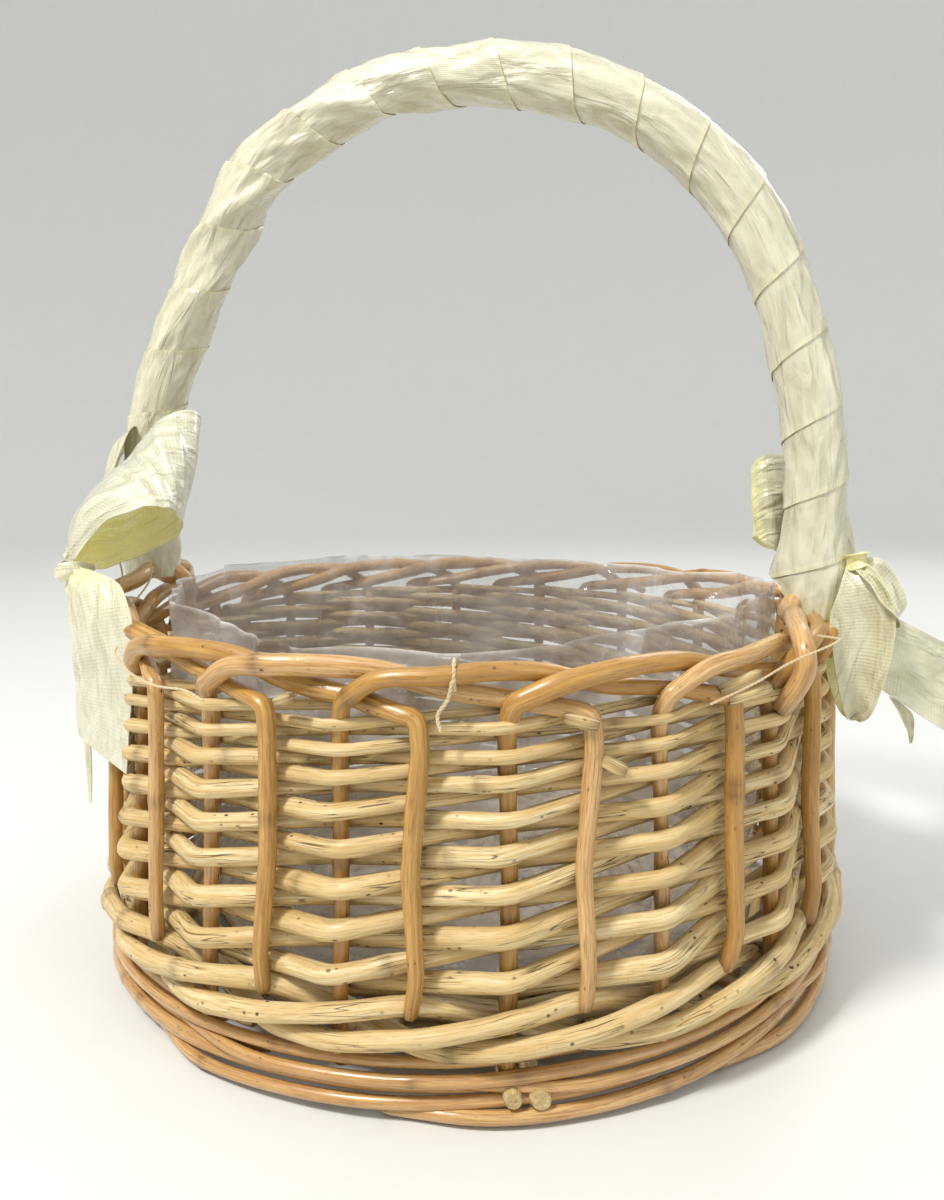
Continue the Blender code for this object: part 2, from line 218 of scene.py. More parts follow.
def rod(piece, line, radii, rng, sides=12, step=0.0016, oval=0.05, lumps=0.05, knots=0, worn=1.0):
    """Adds a willow rod: a slightly oval, lumpy tube whose radius runs through `radii`.

    worn: how dark its cut ends have weathered, 0 to 1.
    """
    points, at = evenly(np.asarray(line, float), step)
    count, length = len(points), at[-1]
    _, across, up = frames(points)
    radius = np.interp(at / length, np.linspace(0, 1, len(radii)), radii)
    slow = rng.uniform(55, 90)
    radius = radius * (1 + lumps * 0.5 * np.sin(at * slow * 2 + rng.uniform(0, 9))
                       + lumps * 0.35 * np.sin(at * slow * 5.3 + rng.uniform(0, 9)))
    wear_and_painted_light = np.zeros(count)
    for _ in range(knots):
        place = rng.uniform(0.08, 0.92) * length
        bump = np.exp(-((at - place) / KNOT_REACH) ** 2)
        radius = radius * (1 + KNOT_SWELL * bump)
        wear_and_painted_light = np.maximum(wear_and_painted_light, 0.7 * bump)
    end = np.minimum(at, length - at)
    radius = radius * (1 - END_SHRINK * np.exp(-(end / END_ROUNDING) ** 2))
    wear_and_painted_light = np.maximum(wear_and_painted_light, worn * np.exp(-end / END_WEATHERING))
    turn = np.linspace(0, math.tau, sides, endpoint=False)
    lean = rng.uniform(0, 9)
    shape = (1 + oval * np.cos(2 * turn[None] + lean + at[:, None] * 25)
             + 0.02 * np.cos(3 * turn[None] + lean * 2 + at[:, None] * 80)
             + 0.012 * np.cos(5 * turn[None] + at[:, None] * 160))
    reach = radius[:, None] * shape
    ring = (points[:, None] + reach[..., None] * (np.cos(turn)[None, :, None] * across[:, None]
                                                  + np.sin(turn)[None, :, None] * up[:, None]))
    grain = np.stack(np.broadcast_arrays(GRAIN_R * np.cos(turn)[None], GRAIN_R * np.sin(turn)[None],
                                         at[:, None] + rng.uniform(0, 50)), axis=2)
    faces = ring_faces(count, sides)
    faces.append(tuple(range(sides))[::-1])
    faces.append(tuple((count - 1) * sides + j for j in range(sides)))
    piece.add(ring.reshape(-1, 3), faces, grain.reshape(-1, 3), rng.random(), np.repeat(wear_and_painted_light, sides))


def willow_rod(node, line, radii, rng, skin, slot, **drawn):
    """A rod that is one piece and replaces one node."""
    piece = Piece(f"{node}_willow")
    rod(piece, line, radii, rng, **drawn)
    piece.finish(skin, [node])


# ---- materials ----
def linear(*colour):
    """An sRGB colour in 0 to 255 as linear values, with a full alpha."""
    dark = 10
    return tuple((c / 255 / 12.92) if c < dark else ((c / 255 + 0.055) / 1.055) ** 2.4
                 for c in colour) + (1.0,)


class Skin:
    """A material and short ways to add its nodes."""

    def __init__(self, name, **shader):
        self.material = bpy.data.materials.new(name)
        self.material.use_nodes = True
        self.tree = self.material.node_tree
        self.shader = self.tree.nodes["Principled BSDF"]
        for key, value in shader.items():
            self.shader.inputs[key.replace("_", " ")].default_value = value

    def node(self, kind, inputs=None, **settings):
        made = self.tree.nodes.new("ShaderNode" + kind)
        for key, value in settings.items():
            setattr(made, key, value)
        for key, value in (inputs or {}).items():
            self.feed(made.inputs[key], value)
        return made

    def feed(self, socket, value):
        if isinstance(value, bpy.types.NodeSocket):
            self.tree.links.new(value, socket)
        else:
            socket.default_value = value

    def mark(self, name):
        made = self.node("Attribute", attribute_name=name)
        return made.outputs["Vector"] if name in ("grain", "weave") else made.outputs["Fac"]

    def stretched(self, vector, scale, shift=(0.0, 0.0, 0.0)):
        return self.node("Mapping", {"Vector": vector, "Scale": scale, "Location": shift}).outputs[0]

    def speckle(self, vector, detail=3.0, roughness=0.55):
        return self.node("TexNoise", {"Vector": vector, "Scale": 1.0, "Detail": detail,
                                      "Roughness": roughness}).outputs["Fac"]

    def range(self, value, low, high, to_low=0.0, to_high=1.0):
        return self.node("MapRange", {"Value": value, "From Min": low, "From Max": high,
                                      "To Min": to_low, "To Max": to_high}).outputs[0]

    def math(self, operation, first, second=0.0):
        made = self.node("Math", operation=operation)
        self.feed(made.inputs[0], first)
        self.feed(made.inputs[1], second)
        return made.outputs[0]

    def mix(self, factor, first, second):
        made = self.node("Mix", data_type="RGBA")
        self.feed(made.inputs["Factor"], factor)
        self.feed(made.inputs["A"], first)
        self.feed(made.inputs["B"], second)
        return made.outputs["Result"]

    def bump(self, height, strength, distance, under=None):
        made = self.node("Bump", {"Height": height, "Strength": strength, "Distance": distance})
        if under:
            self.feed(made.inputs["Normal"], under)
        return made.outputs[0]

    def join(self, **outputs):
        for key, value in outputs.items():
            self.feed(self.shader.inputs[key.replace("_", " ")], value)
        return self.material


def willow(name, pale, deep, dark, rough, specks, cracks, gloss, relief):
    """Peeled willow: streaks along the grain, soft blotches, dark specks and drying cracks.

    specks, cracks: how strongly they show; gloss: weight of the coat; relief: strength of the bump.
    """
    skin = Skin(name, Specular_IOR_Level=0.45, Coat_Weight=gloss, Coat_Roughness=0.20)
    grain = skin.mark("grain")
    streak = skin.speckle(skin.stretched(grain, (1500, 1500, 60)), 4.0, 0.6)
    fine = skin.speckle(skin.stretched(grain, (4200, 4200, 260), (3, 1, 7)), 2.0)
    blotch = skin.speckle(skin.stretched(grain, (260, 260, 70), (9, 4, 2)), 3.0, 0.5)
    patch = skin.range(skin.speckle(skin.stretched(grain, (90, 90, 80), (2, 2, 6)), 1.0), 0.42, 0.62)
    spots = skin.node("TexVoronoi", {"Vector": skin.stretched(grain, (620, 620, 430), (5, 8, 1)),
                                     "Scale": 1.0})
    chosen = skin.node("SeparateColor", {"Color": spots.outputs["Color"]}).outputs["Red"]
    speck = skin.math("MULTIPLY", skin.range(spots.outputs["Distance"], 0.13, 0.24, 1.0, 0.0),
                      skin.range(chosen, 0.60, 0.70))
    veins = skin.speckle(skin.stretched(grain, (900, 900, 42), (1, 6, 3)), 1.0)
    crack = skin.range(skin.math("ABSOLUTE", skin.math("SUBTRACT", veins, 0.5)), 0.0, 0.020, 1.0, 0.0)
    where = skin.range(skin.speckle(skin.stretched(grain, (120, 120, 60), (7, 3, 9)), 0.0), 0.50, 0.58)
    crack = skin.math("MULTIPLY", crack, where)
    colour = skin.mix(skin.range(streak, 0.38, 0.62), pale, deep)
    colour = skin.mix(skin.range(blotch, 0.48, 0.72, 0.0, 0.70), colour, deep)
    colour = skin.mix(skin.math("MULTIPLY", skin.mark("tone"), 0.55), colour, deep)
    colour = skin.mix(skin.range(fine, 0.52, 0.78, 0.0, 0.45), colour, dark)
    marks = skin.math("MAXIMUM", skin.math("MULTIPLY", skin.math("MULTIPLY", speck, patch), specks),
                      skin.math("MULTIPLY", crack, cracks))
    colour = skin.mix(marks, colour, dark)
    weathered = skin.math("MULTIPLY", skin.mark("wear_and_painted_light"), skin.range(streak, 0.35, 0.6, 0.35, 0.85))
    colour = skin.mix(weathered, colour, dark)
    height = skin.math("SUBTRACT", skin.math("ADD", streak, skin.math("MULTIPLY", fine, 0.5)),
                       skin.math("MULTIPLY", marks, 1.6))
    return skin.join(Base_Color=colour, Roughness=skin.range(blotch, 0.3, 0.7, rough - 0.08, rough + 0.10),
                     Normal=skin.bump(height, relief, 0.00025))


def satin(name, face, weave_and_crease_shade, glow, creases, ribbing, relief):
    """Satin ribbon: fine ribs across its length, creases with painted shading in their valleys, woven edges,
    and a painted yellow glow, in colour and as emission, for light shining through the thin satin.

    creases: fineness of the creases along and across; ribbing: fineness of the ribs; relief: their depth.
    """
    # Its emission is painted glow, standing in for light shining through the thin satin.
    skin = Skin(name, Specular_IOR_Level=0.8, Sheen_Weight=0.08, Sheen_Roughness=0.4,
                Sheen_Tint=linear(255, 252, 225), Coat_Weight=0.70, Coat_Roughness=0.16,
                Emission_Strength=0.20)
    weave = skin.mark("weave")
    ribs = skin.node("TexWave", {"Vector": skin.stretched(weave, (1700, 1, 0)), "Scale": ribbing,
                                 "Distortion": 0.6, "Detail": 1.0}, wave_type="BANDS",
                     bands_direction="X").outputs["Fac"]
    warp = skin.speckle(skin.stretched(weave, (110, 5200, 0)), 2.0)
    slub = skin.speckle(skin.stretched(weave, (420, 420, 0), (3, 3, 0)), 3.0)
    crease = skin.node("TexNoise", {"Vector": skin.stretched(weave, creases, (2, 5, 0)), "Scale": 1.0,
                                    "Detail": 2.5, "Roughness": 0.5, "Distortion": 0.6}).outputs["Fac"]
    inset = skin.node("SeparateXYZ", {"Vector": weave}).outputs["Z"]
    selvage = skin.range(inset, 0.0008, 0.0013, 1.0, 0.0)
    # The warp and slub streaks are the weave's own darker tone.
    colour = skin.mix(skin.range(warp, 0.35, 0.7, 0.0, 0.45), face, weave_and_crease_shade)
    colour = skin.mix(skin.range(slub, 0.45, 0.8, 0.0, 0.20), colour, weave_and_crease_shade)
    # Painted shading: the crease noise darkens the colour in the creases' valleys.
    colour = skin.mix(skin.range(crease, 0.38, 0.55, 0.50, 0.0), colour, weave_and_crease_shade)
    # Painted glow: where the mark is set the colour turns yellow and the satin emits, standing in for light
    # shining through the thin ribbon.
    colour = skin.mix(skin.mark("wear_and_painted_light"), colour, glow)
    through = skin.mix(skin.mark("wear_and_painted_light"), linear(0, 0, 0), linear(208, 202, 124))
    folded = skin.bump(crease, 1.0, 0.0021)
    height = skin.math("ADD", skin.math("ADD", ribs, skin.math("MULTIPLY", warp, 0.8)),
                       skin.math("MULTIPLY", selvage, 2.0))
    return skin.join(Base_Color=colour, Emission_Color=through,
                     Roughness=skin.range(warp, 0.3, 0.75, 0.22, 0.34),
                     Normal=skin.bump(height, relief, 0.00011, folded))


def film(name):
    """Thin clear film: glossy, faintly milky, creased into facets, with a painted highlight along its cut
    edge.
    """
    skin = Skin(name, Roughness=0.10, Specular_IOR_Level=0.9, IOR=1.5, Coat_Weight=0.9,
                Coat_Roughness=0.05)
    grain = skin.mark("grain")
    cloud = skin.speckle(skin.stretched(grain, (40, 40, 40)), 3.0)
    warp = skin.node("TexNoise", {"Vector": grain, "Scale": 38.0, "Detail": 2.0}).outputs["Color"]
    bent_grain = skin.node("VectorMath", operation="MULTIPLY_ADD")
    skin.feed(bent_grain.inputs[0], warp)
    skin.feed(bent_grain.inputs[1], (0.030, 0.030, 0.030))
    skin.feed(bent_grain.inputs[2], grain)
    facets = skin.node("TexVoronoi", {"Vector": bent_grain.outputs[0], "Scale": 70.0}).outputs["Distance"]
    crease = skin.speckle(skin.stretched(grain, (190, 190, 120)), 4.0, 0.65)
    height = skin.math("ADD", facets, skin.math("MULTIPLY", crease, 0.35))
    edge = skin.mark("wear_and_painted_light")
    colour = skin.mix(skin.range(cloud, 0.35, 0.7), linear(176, 170, 166), linear(214, 212, 212))
    # Painted highlight: along the cut edge the colour turns white and the film nearly opaque.
    colour = skin.mix(edge, colour, linear(245, 245, 245))
    alpha = skin.math("MAXIMUM", skin.range(cloud, 0.3, 0.7, 0.40, 0.56), skin.math("MULTIPLY", edge, 0.9))
    return skin.join(Base_Color=colour, Alpha=alpha, Normal=skin.bump(height, 0.9, 0.0028))


def thread_skin(name, colour, deep):
    """Dull cotton thread."""
    skin = Skin(name, Roughness=0.8, Sheen_Weight=0.3)
    twist = skin.speckle(skin.stretched(skin.mark("grain"), (3000, 3000, 900)), 3.0)
    return skin.join(Base_Color=skin.mix(skin.range(twist, 0.3, 0.7), colour, deep),
                     Normal=skin.bump(twist, 0.6, 0.0001))


def floor_skin():
    """Plain pale paper."""
    skin = Skin("studio_floor", Roughness=0.6, Specular_IOR_Level=0.3)
    place = skin.node("TexCoord").outputs["Object"]
    grainy = skin.speckle(skin.stretched(place, (60, 60, 60)), 4.0)
    return skin.join(Base_Color=skin.mix(grainy, linear(217, 217, 214), linear(221, 221, 219)))


STRAW = willow("straw_willow", linear(232, 214, 168), linear(202, 170, 110), linear(74, 48, 24),
               rough=0.48, specks=1.0, cracks=0.95, gloss=0.10, relief=0.7)
HONEY = willow("honey_willow", linear(206, 162, 88), linear(170, 124, 58), linear(72, 42, 18),
               rough=0.36, specks=0.8, cracks=0.3, gloss=0.35, relief=0.45)
BORDER = willow("border_willow", linear(220, 182, 124), linear(188, 142, 84), linear(76, 46, 22),
                rough=0.32, specks=0.9, cracks=0.4, gloss=0.40, relief=0.45)
AMBER = willow("amber_willow", linear(226, 188, 128), linear(182, 134, 76), linear(80, 48, 22),
               rough=0.28, specks=0.7, cracks=0.35, gloss=0.60, relief=0.30)
SATIN = satin("ivory_satin", linear(224, 221, 197), linear(176, 172, 140), linear(234, 228, 156),
              creases=(70, 240, 0), ribbing=0.20, relief=0.50)
WRAP_SATIN = satin("wound_satin", linear(226, 222, 196), linear(180, 174, 142), linear(234, 228, 160),
                   creases=(230, 60, 0), ribbing=0.34, relief=0.32)
FILM = film("clear_film")
THREAD = thread_skin("tie_thread", linear(226, 208, 170), linear(190, 166, 122))


# ---- base ----
SPOKES = 12
STICK_R = 0.0018
# Radii where the sticks leave the cross, are part-way up, and lie level.
SPREAD = (0.017, 0.034, 0.044)
STICK_END_R = 0.090
STICK_SPACING = 0.0045
CROSS_Z = 0.0018
LAYER_RISE = 0.0039
# Radii of the base's woven rings: first, last, spacing.
BASE_RINGS = (0.0215, 0.0880, 0.00335)
BASE_SWING = 0.0023


def base_height(radius):
    """Height of the base's middle surface: low at the cross, raised a little outside it."""
    return float(np.interp(radius, SPREAD, (0.0038, 0.0071, BASE_Z)))


def base_sticks(rng):
    """The six crossed sticks, each fanned out to a spoke at both ends."""
    for layer in range(2):
        for index in range(3):
            side = index - 1
            middle_z = CROSS_Z + layer * LAYER_RISE
            half = [(0.0, side * STICK_SPACING, middle_z), (SPREAD[0], side * STICK_SPACING, middle_z)]
            for radius in (SPREAD[1], SPREAD[2], STICK_END_R):
                turn = math.radians(360.0 / SPOKES * side)
                rise = float(np.interp(radius, SPREAD, (0.0, 0.55, 1.0)))
                half.append((radius * math.cos(turn), radius * math.sin(turn),
                             middle_z + (BASE_Z - middle_z) * rise))
            line = [(-x, y, z) for x, y, z in reversed(half[1:])] + half
            if layer:
                line = [(-y, x, z) for x, y, z in line]
            willow_rod(f"base_stick_{layer * 3 + index + 1}", bent(line, 0.008), (STICK_R, STICK_R), rng,
                       STRAW, "straw", sides=10, step=0.003)


def base_weaving(rng):
    """Close rings of thin weavers, over and under the spokes."""
    rings = np.arange(*BASE_RINGS)
    share = math.ceil(len(rings) / 3)
    for third in range(3):
        piece = Piece(f"base_weaver_{third + 1}_willow")
        for index, radius in list(enumerate(rings))[third * share:(third + 1) * share]:
            line = []
            turns = 2 * SPOKES if radius > 0.030 else SPOKES
            for step in range(turns + 3):
                over = (-1) ** (index + step * SPOKES // turns)
                lift = 0.0 if turns > SPOKES and step % 2 else BASE_SWING * over
                wobble = rng.uniform(-0.0003, 0.0003)
                line.append(polar(step * 360.0 / turns, radius + wobble, base_height(radius) + lift))
            rod(piece, smooth(line, 5), (0.0016, 0.0014), rng, sides=8, step=0.0028, knots=1)
        piece.finish(STRAW, [f"base_weaver_{third + 1}"])


# ---- foot ----
# Butts of sticks that show in the foot: (angle, height, radius).
FOOT_BUTTS = (
    (19.4, 0.0062, 0.0024), (16.2, 0.0066, 0.0021), (-70.0, 0.0065, 0.0019), (84.0, 0.0065, 0.0020),
    (141.0, 0.0064, 0.0020), (205.0, 0.0064, 0.0020),
)
# Tips among the top rows: (angles of the two ends, their heights, their distances out, thickness).
TOP_TIPS = (
    (-11.6, -8.4, 0.0882, 0.0905, 0.1010, 0.1036, 0.0012),
    (22.6, 26.0, 0.0866, 0.0856, 0.1010, 0.1044, 0.0013),
    (26.4, 29.4, 0.0782, 0.0755, 0.1010, 0.1046, 0.0014),
    (43.4, 48.6, 0.0888, 0.0922, 0.1010, 0.1042, 0.0013),
    (44.6, 50.0, 0.0868, 0.0890, 0.1014, 0.1048, 0.0014),
    (97.0, 102.0, 0.0875, 0.0900, 0.1010, 0.1042, 0.0013),
    (152.0, 157.0, 0.0875, 0.0898, 0.1010, 0.1042, 0.0013),
    (234.0, 239.0, 0.0878, 0.0900, 0.1010, 0.1040, 0.0013),
)


def foot_strands(name, node, rng, count, bays, low, high, outer, inner, thick, first):
    """Overlapping rods round the foot: each starts low outside and ends high inside."""
    piece = Piece(name)
    for index in range(count):
        start = first + index * 360.0 / count + rng.uniform(-3, 3)
        line = []
        for step in range(9):
            t = step / 8
            ease = t * t * (3 - 2 * t)
            tucked = -0.0016 * math.exp(-((t - 1.0) / 0.08) ** 2) - 0.0030 * math.exp(-(t / 0.07) ** 2)
            radius = outer + (inner - outer) * ease + tucked + rng.uniform(-1, 1) * 0.0002
            z = low + (high - low) * ease + rng.uniform(-1, 1) * 0.0003
            line.append(polar(start + bays * BAY * t, radius, z))
        size = thick * rng.uniform(0.86, 1.14)
        rod(piece, smooth(line, 6), (size * 0.95, size, size * 0.85), rng, step=0.0018, knots=2, lumps=0.04)
    piece.finish(AMBER, [node])


def foot(rng):
    """Two bands of strands, thick below and thin above."""
    foot_strands("foot_rods_lower", "foot_rod_1", rng, count=9, bays=5.2, low=0.0018, high=0.0080,
                 outer=0.1045, inner=0.1008, thick=0.00170, first=3.0)
    foot_strands("foot_rods_upper", "foot_rod_2", rng, count=8, bays=5.2, low=0.0080, high=0.0137,
                 outer=0.1046, inner=0.1018, thick=0.00140, first=12.0)


def cut_ends(rng):
    """Stick ends that show in the foot and among the top rows."""
    piece = Piece("cut_stick_ends")
    for angle, z, size in FOOT_BUTTS:
        rod(piece, [polar(angle, 0.090, z), polar(angle + 0.5, 0.1056, z)], (size, size), rng, step=0.001,
            worn=0.25)
    for start, end, low, high, inside, outside, size in TOP_TIPS:
        rod(piece, [polar(start, inside, low), polar(end, outside, high)], (size * 1.05, size), rng, sides=9,
            step=0.0005, oval=0.14, lumps=0.10)
    piece.finish(STRAW, [])


# ---- wall ----
# How many bays past its upright a stake comes down, how far outside the wall, and where it ends.
STAKE_BAYS = 2.5
OUTSIDE_STEP = 0.0034
STAKE_END_Z = 0.0245


def stakes(rng):
    """Each stake is one rod: upright, border stroke, then down the outside of the weave."""
    for index in range(STAKE_COUNT):
        angle = FIRST_STAKE + BAY * index + rng.uniform(-0.5, 0.5)
        lower = [polar(angle, 0.084, BASE_Z), polar(angle, wall_radius(BASE_Z) - 0.002, BASE_Z),
                 polar(angle, wall_radius(BASE_Z), BASE_Z + 0.002),
                 polar(angle + 0.4, wall_radius(0.045), 0.045), polar(angle, wall_radius(0.084), 0.0845)]
        stroke = [polar(angle + BAY * bays + rng.uniform(-0.4, 0.4),
                        BORDER_R + out + rng.uniform(-1, 1) * 0.0002,
                        z + rng.uniform(-1, 1) * 0.0004) for bays, out, z in BORDER_STROKE]
        end = angle + BAY * STAKE_BAYS
        low = STAKE_END_Z + rng.uniform(-0.0008, 0.0008)
        fall = [polar(end + 0.3, wall_radius(0.084) + OUTSIDE_STEP, 0.0868),
                polar(end + 0.6, wall_radius(0.08) + 0.0036, 0.0800),
                polar(end + rng.uniform(-0.8, 0.8), wall_radius(0.055) + OUTSIDE_STEP, 0.0550),
                polar(end + rng.uniform(-0.8, 0.8), wall_radius(0.03) + OUTSIDE_STEP, 0.0330),
                polar(end + rng.uniform(-0.8, 0.8), wall_radius(0.02) + 0.0022, low)]
        line = np.vstack([bent(lower + [stroke[0]], 0.004)[:-1], smooth(stroke, 6)[:-2],
                          bent([stroke[-1]] + fall, 0.0022)])
        radii = 4 * [UPRIGHT_R] + 3 * [BORDER_ROD_R] + 3 * [OUTER_ROD_R] + [OUTER_ROD_R * 0.92]
        radii = [r * rng.uniform(0.97, 1.04) for r in radii]
        willow_rod(f"stake_{index + 1:02d}", line, radii, rng, BORDER if index % 3 == 1 else HONEY, "honey",
                   sides=14, step=0.0013, knots=4, oval=0.07)


# A side weaver: its strokes of one bay each, its butt's radius and how fast it thins.
STROKES = 16
WEAVER_BUTT_R = 0.00232
WEAVER_THINNING = 0.0000045
FIRST_ROW_Z = 0.0268
ROW_RISE = 0.0052
ROW_CLOSING = 0.00009


def weaver_height(stroke):
    """Height of a side weaver after so many strokes: the rows close up as the rods thin."""
    return FIRST_ROW_Z + ROW_RISE * stroke - ROW_CLOSING * stroke * stroke


def weaver_radius(stroke):
    return WEAVER_BUTT_R - WEAVER_THINNING * stroke * stroke


def side_weavers(rng):
    """Eighteen weavers, each from its own bay: butt at the bottom, thin tip at the border."""
    for index in range(STAKE_COUNT):
        line, size = [], rng.uniform(0.93, 1.06)
        for stroke in range(STROKES + 1):
            z = weaver_height(stroke) + rng.uniform(-1, 1) * 0.00035
            swing = UPRIGHT_R + weaver_radius(stroke) * size + 0.0001
            radius = wall_radius(z) + (swing if stroke % 2 else -swing)
            angle = FIRST_STAKE + BAY * (index + stroke) + rng.uniform(-0.7, 0.7)
            line.append(polar(angle, radius, z))
        radii = [weaver_radius(stroke) * size for stroke in range(STROKES + 1)]
        willow_rod(f"side_weaver_{index + 1:02d}", bent(line, 0.0030), radii, rng, STRAW, "straw",
                   sides=13, step=0.0015, knots=7, oval=0.08, lumps=0.05)


# One period of a wale rod, three bays long: (bays past the hidden stake, swing, height).
WALE_STROKE = (
    (0.0, -0.0042, 0.0205), (0.50, 0.0006, 0.0160), (1.0, 0.0046, 0.0178), (1.5, 0.0050, 0.0205),
    (2.0, 0.0046, 0.0238), (2.50, 0.0006, 0.0256),
)


def wale(rng):
    """Three thick rods at the foot of the wall, each before two stakes and behind the third."""
    for index in range(3):
        line = []
        for period in range(STAKE_COUNT // 3):
            for bays, swing, z in WALE_STROKE:
                angle = FIRST_STAKE + BAY * (index + 3 * period + bays)
                line.append(polar(angle + rng.uniform(-0.5, 0.5), wall_radius(z) + swing,
                                  z + rng.uniform(-1, 1) * 0.0003))
        start = FIRST_STAKE + BAY * (index + STAKE_COUNT)
        line += [polar(start, wall_radius(0.0205) - 0.0046, 0.0195), polar(start + 9, 0.0985, 0.0185)]
        willow_rod(f"wale_rod_{index + 1}", bent(line, 0.007), (0.00235, 0.0022, 0.0023), rng, STRAW, "straw",
                   sides=14, step=0.0015, knots=9, oval=0.07)


# ---- handle ----
# Where each handle rod goes below the ribbon: (angle, radius, height) at the left foot, then at the right.
HANDLE_FEET = {
    "front": (
        ((-79, 0.0995, 0.1024), (-73, 0.1040, 0.1000), (-68, 0.1060, 0.0962), (-66, 0.1056, 0.0900),
         (-65, 0.1010, 0.0800)),
        ((78.5, 0.0905, 0.0985), (69.5, 0.0945, 0.0992), (62, 0.0995, 0.0990), (57.8, 0.1045, 0.0962),
         (56.8, 0.1058, 0.0900), (56.4, 0.1010, 0.0810)),
    ),
    "middle": (
        ((-86, 0.0960, 0.1012), (-86, 0.0900, 0.0975), (-86, 0.0885, 0.0450)),
        ((86, 0.0945, 0.1010), (86, 0.0898, 0.0975), (86, 0.0885, 0.0450)),
    ),
    "back": (
        ((-95, 0.0990, 0.1024), (-100, 0.1042, 0.0992), (-102, 0.1056, 0.0905), (-102, 0.1010, 0.0800)),
        ((91, 0.0980, 0.1018), (95, 0.1040, 0.0988), (97, 0.1056, 0.0905), (98, 0.1010, 0.0810)),
    ),
}
# Each rod's place in the hoop: (out from the hoop's line, towards the back).
HANDLE_PLACES = {"front": (-0.00175, -0.00303), "middle": (0.0035, 0.0), "back": (-0.00175, 0.00303)}


def handle_line(per_span=8):
    """The hoop's middle line from the left foot to the right one."""
    return smooth([(x, HANDLE_Y, z) for x, z in HANDLE_LINE], per_span)


def away_from_hoop(line):
    """Unit vectors in the hoop's plane that point away from its middle."""
    along, _, _ = frames(line)
    return np.stack([-along[:, 2], np.zeros(len(line)), along[:, 0]], axis=1)


def handle_rods(rng):
    """Three rods bound in the hoop, bare below the ribbon where they spread to the border."""
    hoop = handle_line(1)
    outwards = away_from_hoop(hoop)
    for name, (left, right) in HANDLE_FEET.items():
        out, back = HANDLE_PLACES[name]
        body = hoop + outwards * out + np.array((0.0, back, 0.0))
        line = [polar(*p) for p in reversed(left)] + [tuple(p) for p in body] + [polar(*p) for p in right]
        willow_rod(f"handle_rod_{name}", smooth(line, 6), (0.0025, 0.0024, 0.0025), rng, BORDER, "honey",
                   sides=14, step=0.0016, knots=7)


def sheet_mesh(piece, grid, normals, thick, weave, inner=None, outer=0.0):
    """Adds a thin closed sheet over a grid of points (rows by columns), each face with its own share of
    painted glow.
    """
    rows, columns = grid.shape[:2]
    faces = []
    count = rows * columns
    for i in range(rows - 1):
        for j in range(columns - 1):
            a, b = i * columns + j, (i + 1) * columns + j
            c, d = b + 1, a + 1
            faces.append((a, b, c, d))
            faces.append((count + d, count + c, count + b, count + a))
    rim = list(range(columns)) + [i * columns + columns - 1 for i in range(1, rows)]
    rim += [(rows - 1) * columns + j for j in range(columns - 2, -1, -1)]
    rim += [i * columns for i in range(rows - 2, 0, -1)]
    for a, b in zip(rim, rim[1:] + rim[:1]):
        faces.append((a, b, count + b, count + a))
    top = (grid + normals * thick / 2).reshape(-1, 3)
    bottom = (grid - normals * thick / 2).reshape(-1, 3)
    painted_glow_share = np.concatenate([np.broadcast_to(outer, (rows, columns)).ravel(),
                           np.broadcast_to(outer if inner is None else inner, (rows, columns)).ravel()])
    piece.add(np.vstack([top, bottom]), faces, np.vstack([weave.reshape(-1, 3)] * 2), 0.5, painted_glow_share)


def grid_normals(grid):
    """The unit normal at each point of a grid."""
    along = np.gradient(grid, axis=0)
    across = np.gradient(grid, axis=1)
    normal = np.cross(along, across)
    return normal / (np.linalg.norm(normal, axis=2)[..., None] + 1e-12)


def weave_of(grid):
    """Distance along and across the ribbon, for the ribs of its weave."""
    along = np.cumsum(np.linalg.norm(np.diff(grid, axis=0, prepend=grid[:1]), axis=2), axis=0)
    across = np.cumsum(np.linalg.norm(np.diff(grid, axis=1, prepend=grid[:, :1]), axis=2), axis=1)
    along = np.broadcast_to(along.mean(axis=1)[:, None], along.shape)
    return np.stack([along, across, np.minimum(across, across[:, -1:] - across)], axis=2)


def crest(angle, width):
    """Narrow rounded ridges, one each turn of the angle."""
    return np.exp(-(np.sin(angle / 2) / width) ** 2)


# The wound ribbon: its width, a turn's advance and reach along the hoop, and a turn's length in the
# weave's texture.
RIBBON_WIDTH = 0.025
WRAP_PITCH = 0.0192
WRAP_REACH = 0.0262
WEAVE_TURN = 0.0545
WRAP_ENDS = (-0.1003, HANDLE_Y, 0.1012), (0.0945, HANDLE_Y, 0.0955)


